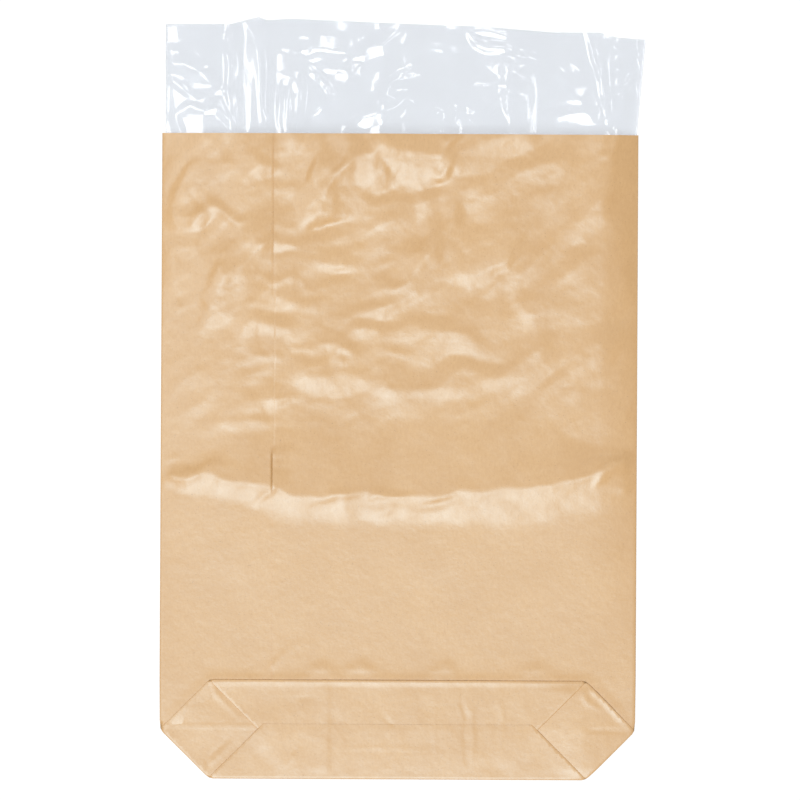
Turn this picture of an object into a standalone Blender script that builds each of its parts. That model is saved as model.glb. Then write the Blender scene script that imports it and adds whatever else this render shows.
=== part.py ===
"""Open-mouth kraft paper sack with a clear film liner, empty and lying flat.

The sack is one paper tube, lapped and glued along its front, with a pasted hexagonal bottom that is
folded over onto the front. The liner is a film tube, welded across its end, that stands out of the
mouth. Each piece is laid out as flat panels in their layers, folds roll the paper from one layer to
the next, and Solidify gives the sheet its thickness.

Metres. +X is to the right, +Y towards the mouth, +Z up. The origin is on the floor, in the middle of
the width and of the whole length.
"""

import math

import bmesh
import bpy
from mathutils import Vector
from mathutils.geometry import delaunay_2d_cdt, intersect_point_line

# Paper tube
SACK_WIDTH = 0.500
SACK_LENGTH = 0.680
PAPER_WALL = 0.00025
PLY_GAP = 0.0004

# Lap seam on the front, placed by its free edge
SEAM_EDGE_X = -0.133
SEAM_LAP = 0.021

# Pasted bottom
BOTTOM_WIDTH = 0.103
BOTTOM_LIFT = 0.001
UPPER_FLAP = 0.075
LOWER_FLAP = 0.057

# How the front stands off the back
BILLOW = 0.0085
SIDE_RISE = 0.055
BOTTOM_RISE = 0.090

# Film liner
FILM_WALL = 0.0001
FILM_CLEARANCE = 0.0003
LINER_SIDE_CLEARANCE = 0.0030
LINER_END_CLEARANCE = 0.012
LINER_STANDOUT = 0.121
LINER_CREST_X = -0.120
LINER_LEFT_DROP = 0.005
LINER_RIGHT_DROP = 0.018
LINER_FLARE = 0.011
FILM_SLACK = 0.15
FILM_FOLD_START = 0.020

# Mesh
WALL_SPACING = 0.026
BACK_SPACING = 0.060
BOTTOM_SPACING = 0.030
FILM_SPACING = 0.030
SEAM_STEP = 0.0002
KNOT_REACH = 0.005
KNOT_THINNING = 0.1
FOLD_STEPS = 3
MERGE = 1e-5
CLEAR_SHARE = 0.4
ROW_SHARE = math.sqrt(3) / 2
SHARP_ANGLE = math.radians(40)

HALF_WIDTH = SACK_WIDTH / 2
HALF_BOTTOM = BOTTOM_WIDTH / 2
PLY = PAPER_WALL + PLY_GAP
LOWER_FOLD_Y = -(SACK_LENGTH + LINER_STANDOUT) / 2
MOUTH_Y = LOWER_FOLD_Y + SACK_LENGTH
BOTTOM_Y = LOWER_FOLD_Y + HALF_BOTTOM
UPPER_END = HALF_BOTTOM + UPPER_FLAP
LOWER_END = HALF_BOTTOM + LOWER_FLAP
SEAM_END_X = SEAM_EDGE_X + SEAM_LAP
SEAM_STOPS = (SEAM_EDGE_X, SEAM_EDGE_X + SEAM_STEP, SEAM_END_X, SEAM_END_X + SEAM_STEP)
BACK_Z = PAPER_WALL / 2
FILM_LOW_Z = PAPER_WALL + FILM_CLEARANCE + FILM_WALL / 2
FILM_HIGH_Z = FILM_LOW_Z + FILM_WALL + FILM_CLEARANCE
FRONT_Z = FILM_HIGH_Z + FILM_WALL / 2 + FILM_CLEARANCE + PAPER_WALL / 2
LINER_HALF = HALF_WIDTH - LINER_SIDE_CLEARANCE
LINER_END_Y = BOTTOM_Y + LINER_END_CLEARANCE
PLIES_UP = {"front_wall": 0, "tuck": 1, "corner": 2, "upper_under": 3, "upper_flap": 4,
            "lower_under": 5, "lower_flap": 6}

# Creases of the front wall: points as (x, distance below the mouth), height, reach to each side
WALL_CREASES = (
    (((-0.240, 0.368), (-0.205, 0.361), (-0.136, 0.375), (-0.060, 0.389), (0.043, 0.381),
      (0.128, 0.372), (0.200, 0.364), (0.242, 0.338)), 0.0030, 0.040),
    (((-0.090, 0.075), (-0.057, 0.040), (-0.031, 0.022), (-0.015, 0.012)), 0.0026, 0.034),
    (((-0.015, 0.012), (0.043, 0.020), (0.068, 0.058), (0.012, 0.072)), 0.0018, 0.030),
    (((-0.157, 0.030), (-0.215, 0.105), (-0.236, 0.150)), 0.0020, 0.030),
    (((0.059, 0.085), (0.020, 0.125), (-0.020, 0.175)), 0.0020, 0.038),
    (((0.149, 0.112), (0.096, 0.165)), 0.0016, 0.036),
    (((0.225, 0.004), (0.221, 0.040)), 0.0016, 0.022),
)

# Folds of the film outside the mouth: points as (x, distance above the mouth), height, reach
FILM_FOLDS = (
    (((-0.176, 0.012), (-0.172, 0.060), (-0.176, 0.112)), 0.0040, 0.012),
    (((-0.150, 0.012), (-0.152, 0.060), (-0.148, 0.115)), 0.0045, 0.012),
    (((-0.122, 0.012), (-0.125, 0.055), (-0.119, 0.085)), 0.0030, 0.012),
    (((-0.110, 0.062), (-0.060, 0.080), (-0.020, 0.104)), 0.0030, 0.022),
    (((-0.060, 0.010), (-0.030, 0.035), (0.004, 0.060)), 0.0030, 0.022),
    (((0.085, 0.014), (0.105, 0.060), (0.075, 0.104)), 0.0040, 0.018),
    (((0.138, 0.010), (0.168, 0.040), (0.182, 0.098)), 0.0035, 0.018),
    (((0.205, 0.018), (0.232, 0.052), (0.228, 0.088)), 0.0040, 0.016),
)


def smooth(share):
    """Ease from 0 to 1 as share goes from 0 to 1."""
    share = min(max(share, 0.0), 1.0)
    return share * share * (3 - 2 * share)


def distance_to(x, y, line):
    """Distance from a point to a line of points."""
    spot = Vector((x, y))
    nearest = math.inf
    for start, end in zip(line, line[1:]):
        foot, share = intersect_point_line(spot, Vector(start), Vector(end))
        foot = Vector(start).lerp(Vector(end), min(max(share, 0.0), 1.0))
        nearest = min(nearest, (spot - foot).length)
    return nearest


def tents(x, y, creases):
    """Height that a set of creases adds at a point, each falling evenly to nothing at its reach."""
    return sum(
        height * max(0.0, 1 - distance_to(x, y, line) / reach) for line, height, reach in creases
    )


def placed(creases, towards):
    """Creases with their distances from the mouth made world positions."""
    return tuple(
        (tuple((x, MOUTH_Y + towards * away) for x, away in line), height, reach)
        for line, height, reach in creases
    )


WALL_LINES = placed(WALL_CREASES, -1)
FILM_LINES = placed(FILM_FOLDS, 1)


def side_shape(x):
    """0 at the side folds, 1 from SIDE_RISE inwards."""
    away = min(max(HALF_WIDTH - abs(x), 0.0) / SIDE_RISE, 1.0)
    return 1 - (1 - away) ** 2


def billow(x, y):
    """How far the slack front stands off its flat place."""
    return BILLOW * side_shape(x) * smooth((y - BOTTOM_Y - HALF_BOTTOM) / BOTTOM_RISE)


def base(y):
    """Height of the front wall's flat place: the pasted bottom lies on one gentle slope."""
    return FRONT_Z + BOTTOM_LIFT * min((y - BOTTOM_Y) / HALF_BOTTOM, 1.0)


def seam_shift(x):
    """The lap lifts the sheet that lies on top by one thickness, which settles past the seam."""
    if x < SEAM_EDGE_X + SEAM_STEP / 2:
        return 0.0
    if x < SEAM_END_X + SEAM_STEP / 2:
        return PAPER_WALL / 2
    return PAPER_WALL * (1 - smooth((x - SEAM_END_X) / SIDE_RISE))


def paper_height(layer, x, y):
    """Height of the middle of the paper in one layer."""
    if layer == "back_wall":
        return BACK_Z
    height = base(y) + PLIES_UP[layer] * PLY
    if layer == "front_wall":
        slack = billow(x, y)
        height += seam_shift(x) + slack + tents(x, y, WALL_LINES) * slack / BILLOW
    return height


def paper_sheets(layer, x, y):
    """How many sheets thick the paper is: two in the glued lap, which is pressed flat in the bottom."""
    lapped = SEAM_STOPS[1] - SEAM_STEP / 2 < x < SEAM_STOPS[2] + SEAM_STEP / 2
    return 2 if lapped and layer == "front_wall" else 1


def film_height(layer, x, y):
    """Height of the middle of the film: the lower ply lies flat, the upper follows the front."""
    if layer == "film_back":
        return FILM_LOW_Z
    out = min(max(y - MOUTH_Y, 0.0) / LINER_STANDOUT, 1.0)
    edge = 1 - min(abs(x) / (LINER_HALF + LINER_FLARE * out), 1.0)
    shape = 1 - (1 - min(edge * LINER_HALF / SIDE_RISE, 1.0)) ** 2
    slack = BILLOW * shape * smooth((y - BOTTOM_Y - HALF_BOTTOM) / BOTTOM_RISE)
    height = FILM_HIGH_Z + base(y) - FRONT_Z + slack * (1 - FILM_SLACK)
    return height + tents(x, y, FILM_LINES) * shape * smooth((y - MOUTH_Y) / FILM_FOLD_START)


def film_sheets(layer, x, y):
    """The film is one sheet thick all over."""
    return 1


def between(start, end, share):
    """The place a share of the way from start to end."""
    return tuple(a + (b - a) * share for a, b in zip(start, end))


def run(start, end, spacing, stops=()):
    """Places from start to end, about spacing apart, close together at both ends, and at each stop in x."""
    length = math.dist(start, end)
    pieces = max(1, round((length - 2 * KNOT_REACH) / spacing))
    shares = {0.0, 1.0}
    for step in range(pieces + 1):
        shares.add((KNOT_REACH + (length - 2 * KNOT_REACH) * step / pieces) / length)
    stop_shares = [(x - start[0]) / (end[0] - start[0]) for x in stops]
    margin = CLEAR_SHARE * spacing / length
    kept = [s for s in shares if s in (0.0, 1.0) or all(abs(s - t) > margin for t in stop_shares)]
    return [between(start, end, share) for share in sorted(kept + stop_shares)]


def lattice(outline, spacing, lines):
    """Staggered points inside an outline that keep clear of it and of the lines."""
    closed = list(outline) + [outline[0]]
    left, right = min(p[0] for p in outline), max(p[0] for p in outline)
    low, high = min(p[1] for p in outline), max(p[1] for p in outline)
    columns, rows = int((right - left) / spacing), int((high - low) / (spacing * ROW_SHARE))
    found = []
    for row in range(1, rows + 1):
        y = low + (high - low) * row / (rows + 1)
        for column in range(columns + 1):
            x = left + (right - left) * (column + 0.5 * (row % 2) + 0.25) / (columns + 1)
            if not inside(x, y, outline) or distance_to(x, y, closed) < CLEAR_SHARE * spacing:
                continue
            if all(distance_to(x, y, line) > CLEAR_SHARE * spacing for line in lines):
                found.append((x, y))
    return found


def inside(x, y, outline):
    """Whether a point lies in an outline, by the edges that a line to its right crosses."""
    crossed = False
    for (ax, ay), (bx, by) in zip(outline, outline[1:] + outline[:1]):
        if (ay > y) != (by > y) and x < ax + (bx - ax) * (y - ay) / (by - ay):
            crossed = not crossed
    return crossed


class Sheet:
    """An open surface of paper or film: panels in layers, joined by folds that meet in knots."""

    def __init__(self, height, sheets, knots):
        self.mesh = bmesh.new()
        self.sheets_layer = self.mesh.verts.layers.float.new("sheets")
        self.height = height
        self.sheets = sheets
        self.knots = {self.key(*spot): z for spot, z in knots.items()}
        self.made = {}

    @staticmethod
    def key(x, y):
        return round(x * 1e6), round(y * 1e6)

    def vertex(self, place, sheets):
        made = self.mesh.verts.new(place)
        made[self.sheets_layer] = sheets
        return made

    def point(self, layer, x, y):
        """The vertex of a layer at a place. All layers share one vertex at a knot."""
        spot = self.key(x, y)
        name = "knot" if spot in self.knots else layer
        if (name, spot) not in self.made:
            if name == "knot":
                made = self.vertex((x, y, self.knots[spot]), KNOT_THINNING)
            else:
                made = self.vertex((x, y, self.height(layer, x, y)), self.sheets(layer, x, y))
            self.made[name, spot] = made
        return self.made[name, spot]

    def panel(self, layer, outline, spacing, lines=()):
        """Fills an outline in one layer with triangles whose edges follow the lines."""
        numbers, places = {}, []

        def number(place):
            """The index of a place, the same for places that coincide."""
            if self.key(*place) not in numbers:
                numbers[self.key(*place)] = len(places)
                places.append(place)
            return numbers[self.key(*place)]

        rim = [number(place) for place in outline]
        edges = [
            (number(start), number(end)) for line in lines for start, end in zip(line, line[1:])
        ]
        for place in lattice(outline, spacing, lines):
            number(place)
        found = delaunay_2d_cdt([Vector(place) for place in places], edges, [rim], 1, MERGE)
        corners = [
            self.point(layer, *(places[sources[0]] if sources else where))
            for where, sources in zip(found[0], found[3])
        ]
        for face in found[2]:
            self.mesh.faces.new([corners[index] for index in face])

    def fold(self, line, lower, upper, outward):
        """Rolls the sheet from one layer up to another along a line, as half a cylinder."""
        columns = []
        for x, y in line:
            first, last = self.point(lower, x, y), self.point(upper, x, y)
            column = [first]
            if first is not last:
                middle = (first.co.z + last.co.z) / 2
                radius = (last.co.z - first.co.z) / 2
                sheets = min(first[self.sheets_layer], last[self.sheets_layer])
                for step in range(1, FOLD_STEPS):
                    turn = math.pi * step / FOLD_STEPS
                    reach = radius * math.sin(turn)
                    place = x + outward[0] * reach, y + outward[1] * reach, middle - radius * math.cos(turn)
                    column.append(self.vertex(place, sheets))
                column.append(last)
            columns.append(column)
        for left, right in zip(columns, columns[1:]):
            self.skin(left, right)

    def skin(self, left, right):
        """Joins two columns of a fold, either of which may be a single knot."""
        for step in range(max(len(left), len(right)) - 1):
            corners = left[step:step + 2] + right[step:step + 2][::-1]
            if len(left) == 1:
                corners = [left[0]] + right[step:step + 2]
            if len(right) == 1:
                corners = [right[0]] + left[step:step + 2]
            self.mesh.faces.new(corners)

    def finish(self, name, wall, material, collection):
        """Makes the object, with its wall from Solidify at one sheet's thickness or two."""
        bmesh.ops.recalc_face_normals(self.mesh, faces=self.mesh.faces)
        data = bpy.data.meshes.new(name)
        thickness = [vertex[self.sheets_layer] / 2 for vertex in self.mesh.verts]
        self.mesh.to_mesh(data)
        self.mesh.free()
        data.materials.append(material)
        data.shade_smooth()
        data.set_sharp_from_angle(angle=SHARP_ANGLE)
        made = bpy.data.objects.new(name, data)
        collection.objects.link(made)
        group = made.vertex_groups.new(name="thickness")
        for index, share in enumerate(thickness):
            group.add([index], share, "REPLACE")
        shell = made.modifiers.new("Wall", "SOLIDIFY")
        shell.thickness = 2 * wall
        shell.offset = 0
        shell.vertex_group = group.name
        return made


def spot(side, across, along):
    """A place on the pasted bottom: across from the side fold, along from the bottom's middle line."""
    return side * (HALF_WIDTH - across), BOTTOM_Y + along


def loop(*lines):
    """One outline from lines that follow each other end to end."""
    points = []
    for line in lines:
        points += line[:-1]
    return points


def build_sack(collection, material):
    """The paper: back wall, front wall, the tuck under the bottom, two corners and two flaps."""
    half = HALF_BOTTOM
    layer_z = {name: FRONT_Z + plies * PLY for name, plies in PLIES_UP.items()}
    knots = {}
    for side in (-1, 1):
        knots[spot(side, 0, 0)] = (BACK_Z + layer_z["corner"]) / 2
        knots[spot(side, half, half)] = (layer_z["tuck"] + layer_z["upper_flap"]) / 2 + BOTTOM_LIFT
        knots[spot(side, half, -half)] = (BACK_Z + layer_z["lower_flap"] - BOTTOM_LIFT) / 2
    sheet = Sheet(paper_height, paper_sheets, knots)

    middle = run(spot(-1, 0, 0), spot(1, 0, 0), WALL_SPACING, SEAM_STOPS)
    upper_hinge = run(spot(-1, half, half), spot(1, half, half), BOTTOM_SPACING)
    lower_hinge = run(spot(-1, half, -half), spot(1, half, -half), BOTTOM_SPACING)
    front_mouth = run((-HALF_WIDTH, MOUTH_Y), (HALF_WIDTH, MOUTH_Y), WALL_SPACING, SEAM_STOPS)
    back_mouth = run((-HALF_WIDTH, MOUTH_Y), (HALF_WIDTH, MOUTH_Y), BACK_SPACING)
    lines = {}
    for side in (-1, 1):
        lines[side] = {
            "side": run(spot(side, 0, 0), (side * HALF_WIDTH, MOUTH_Y), WALL_SPACING),
            "upper": run(spot(side, 0, 0), spot(side, half, half), BOTTOM_SPACING),
            "lower": run(spot(side, 0, 0), spot(side, half, -half), BOTTOM_SPACING),
            "upper_hem": run(spot(side, half, half), spot(side, UPPER_END, half), BOTTOM_SPACING),
            "lower_hem": run(spot(side, half, -half), spot(side, LOWER_END, -half), BOTTOM_SPACING),
            "upper_slant": run(
                spot(side, half, half), spot(side, UPPER_END, BOTTOM_WIDTH - UPPER_END), BOTTOM_SPACING
            ),
            "lower_slant": run(
                spot(side, half, -half), spot(side, LOWER_END, LOWER_END - BOTTOM_WIDTH), BOTTOM_SPACING
            ),
        }
    left, right = lines[-1], lines[1]

    lap = [run((x, BOTTOM_Y), (x, MOUTH_Y), WALL_SPACING) for x in SEAM_STOPS]
    sheet.panel(
        "front_wall",
        loop(middle, right["side"], front_mouth[::-1], left["side"][::-1]),
        WALL_SPACING,
        lap + [line for line, _, _ in WALL_LINES],
    )
    sheet.panel(
        "back_wall",
        loop(left["lower"], lower_hinge, right["lower"][::-1], right["side"], back_mouth[::-1],
             left["side"][::-1]),
        BACK_SPACING,
    )
    sheet.panel(
        "tuck", loop(middle, right["upper"], upper_hinge[::-1], left["upper"][::-1]), BOTTOM_SPACING
    )
    upper_edge = run(left["upper_slant"][-1], right["upper_slant"][-1], BOTTOM_SPACING)
    sheet.panel(
        "upper_flap",
        loop(left["upper_slant"], upper_edge, right["upper_slant"][::-1], upper_hinge[::-1]),
        BOTTOM_SPACING,
    )
    lower_edge = run(left["lower_slant"][-1], right["lower_slant"][-1], BOTTOM_SPACING)
    sheet.panel(
        "lower_flap",
        loop(lower_hinge, right["lower_slant"], lower_edge[::-1], left["lower_slant"][::-1]),
        BOTTOM_SPACING,
    )
    sheet.fold(middle, "front_wall", "tuck", (0, -1))
    sheet.fold(upper_hinge, "tuck", "upper_flap", (0, 1))
    sheet.fold(lower_hinge, "back_wall", "lower_flap", (0, -1))
    for side in (-1, 1):
        build_corner(sheet, side, lines[side])
    return sheet.finish("kraft_sack", PAPER_WALL, material, collection)


def build_corner(sheet, side, lines):
    """One end of the bottom: the side of the tube squashed flat, and its hems under both flaps."""
    half, slant = HALF_BOTTOM, math.sqrt(0.5)
    upper_corner, lower_corner = spot(side, UPPER_END, half), spot(side, LOWER_END, -half)
    step_in, step_out = spot(side, LOWER_END, 0), spot(side, UPPER_END, 0)
    sheet.panel(
        "corner",
        loop(
            lines["lower"],
            lines["lower_hem"],
            run(lower_corner, step_in, BOTTOM_SPACING),
            [step_in, step_out],
            run(step_out, upper_corner, BOTTOM_SPACING),
            lines["upper_hem"][::-1],
            lines["upper"][::-1],
        ),
        BOTTOM_SPACING,
    )
    for name, end in (("upper", UPPER_END), ("lower", LOWER_END)):
        cut = run(lines[name + "_hem"][-1], lines[name + "_slant"][-1], BOTTOM_SPACING)
        sheet.panel(
            name + "_under", loop(lines[name + "_hem"], cut, lines[name + "_slant"][::-1]), BOTTOM_SPACING
        )
    sheet.fold(lines["side"], "back_wall", "front_wall", (side, 0))
    sheet.fold(lines["upper"], "tuck", "corner", (side * slant, slant))
    sheet.fold(lines["lower"], "back_wall", "corner", (side * slant, -slant))
    sheet.fold(lines["upper_hem"], "corner", "upper_under", (0, 1))
    sheet.fold(lines["lower_hem"], "corner", "lower_under", (0, -1))
    sheet.fold(lines["upper_slant"], "upper_under", "upper_flap", (side * slant, -slant))
    sheet.fold(lines["lower_slant"], "lower_under", "lower_flap", (side * slant, slant))


def build_liner(collection, material):
    """The film: two plies joined by side folds and by the weld across the end in the sack."""
    ends = {side: (side * LINER_HALF, LINER_END_Y) for side in (-1, 1)}
    weld_z = (FILM_LOW_Z + FILM_HIGH_Z) / 2
    sheet = Sheet(film_height, film_sheets, {end: weld_z for end in ends.values()})
    weld = run(ends[-1], ends[1], FILM_SPACING)
    crest_y = MOUTH_Y + LINER_STANDOUT
    left = run(ends[-1], (-LINER_HALF, crest_y - LINER_LEFT_DROP), FILM_SPACING)
    right_mouth = (LINER_HALF, MOUTH_Y)
    right_top = (LINER_HALF + LINER_FLARE, crest_y - LINER_RIGHT_DROP)
    right = loop(run(ends[1], right_mouth, FILM_SPACING), run(right_mouth, right_top, FILM_SPACING))
    right.append(right_top)
    crest = (LINER_CREST_X, crest_y)
    top = loop(run(left[-1], crest, FILM_SPACING), run(crest, right_top, FILM_SPACING)) + [right_top]
    outline = loop(weld, right, top[::-1], left[::-1])
    sheet.panel("film_front", outline, FILM_SPACING, [line for line, _, _ in FILM_LINES])
    sheet.panel("film_back", outline, BACK_SPACING)
    sheet.fold(left, "film_back", "film_front", (-1, 0))
    sheet.fold(right, "film_back", "film_front", (1, 0))
    sheet.fold(weld, "film_back", "film_front", (0, -1))
    return sheet.finish("film_liner", FILM_WALL, material, collection)


def principled(name, colour, roughness, alpha=1.0):
    """A plain material with the piece's own colour."""
    material = bpy.data.materials.new(name)
    material.use_nodes = True
    shader = material.node_tree.nodes["Principled BSDF"]
    shader.inputs["Base Color"].default_value = (*colour, 1.0)
    shader.inputs["Roughness"].default_value = roughness
    shader.inputs["Metallic"].default_value = 0.0
    shader.inputs["Alpha"].default_value = alpha
    return material


def clear_scene():
    for item in list(bpy.data.objects):
        bpy.data.objects.remove(item, do_unlink=True)


def main():
    clear_scene()
    collection = bpy.data.collections.new("kraft_paper_sack")
    bpy.context.scene.collection.children.link(collection)
    build_sack(collection, principled("kraft_paper", (0.68, 0.48, 0.29), 0.6))
    build_liner(collection, principled("clear_film", (0.80, 0.83, 0.87), 0.15, 0.35))


main()
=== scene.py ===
"""An empty open-mouth kraft sack with a clear film liner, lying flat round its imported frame.

Metres. +X is to the right, +Y towards the mouth, +Z up, and the floor is Z = 0.
"""

import math

import bmesh
import bpy
import numpy as np
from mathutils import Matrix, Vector
from mathutils.geometry import delaunay_2d_cdt


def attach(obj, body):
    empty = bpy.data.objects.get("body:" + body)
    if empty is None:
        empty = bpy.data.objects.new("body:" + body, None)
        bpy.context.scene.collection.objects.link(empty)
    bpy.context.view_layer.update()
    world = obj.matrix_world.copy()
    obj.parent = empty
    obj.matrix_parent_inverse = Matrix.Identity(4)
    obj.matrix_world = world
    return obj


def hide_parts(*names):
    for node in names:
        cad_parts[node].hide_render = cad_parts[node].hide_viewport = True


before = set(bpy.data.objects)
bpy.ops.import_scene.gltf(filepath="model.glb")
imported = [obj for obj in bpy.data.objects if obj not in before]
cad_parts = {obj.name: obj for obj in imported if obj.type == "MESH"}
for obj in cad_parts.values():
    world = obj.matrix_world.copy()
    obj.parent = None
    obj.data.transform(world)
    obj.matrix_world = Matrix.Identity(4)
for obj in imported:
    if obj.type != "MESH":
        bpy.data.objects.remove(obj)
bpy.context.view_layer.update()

# -------------------------------------------------------------------------------------------------
# The paper sack
# One tube of glazed kraft. Its two edges are lapped and glued down the front, to the left of the
# middle. The lower end is squashed into a hexagon, pasted, and folded over onto the front.
# -------------------------------------------------------------------------------------------------

HALF_WIDTH = 0.250
MOUTH_Y = 0.2795
PAPER_WALL = 0.00025
PLY = 0.0004
BACK_Z = PAPER_WALL / 2
FRONT_Z = 0.001475

HALF_BOTTOM = 0.0515
BOTTOM_Y = -0.349
BOTTOM_LIFT = 0.001
UPPER_END = 0.1265
LOWER_END = 0.1085
PLIES_UP = {"front": 0, "front_left": 0, "front_right": 0, "tuck": 1, "corner": 2,
            "upper_under": 3, "upper_flap": 4, "lower_under": 5, "lower_flap": 6}

SEAM_EDGE_X = -0.133
SEAM_END_X = -0.112
SEAM_JOIN_Y = -0.330
LAP_STEP = 0.00035
LAP_RUN_OUT = 0.055
LAP_START = 0.030

# In millimetres: x of the side folds and of the bottom's corners, and distances below the mouth
SIDE, CORNER = 250, 198.5
HINGE_DOWN, LOWER_FLAP_DOWN, UPPER_FLAP_DOWN, FOLD_DOWN = 577, 623, 652, 680
SLANT_DOWN = 483
SLIT_DOWN, SLIT_END_DOWN = 328, 382
GLUED_DOWN = 25
CREASE_SCALE = 1.3
DIAGONAL = math.sqrt(0.5)

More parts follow.
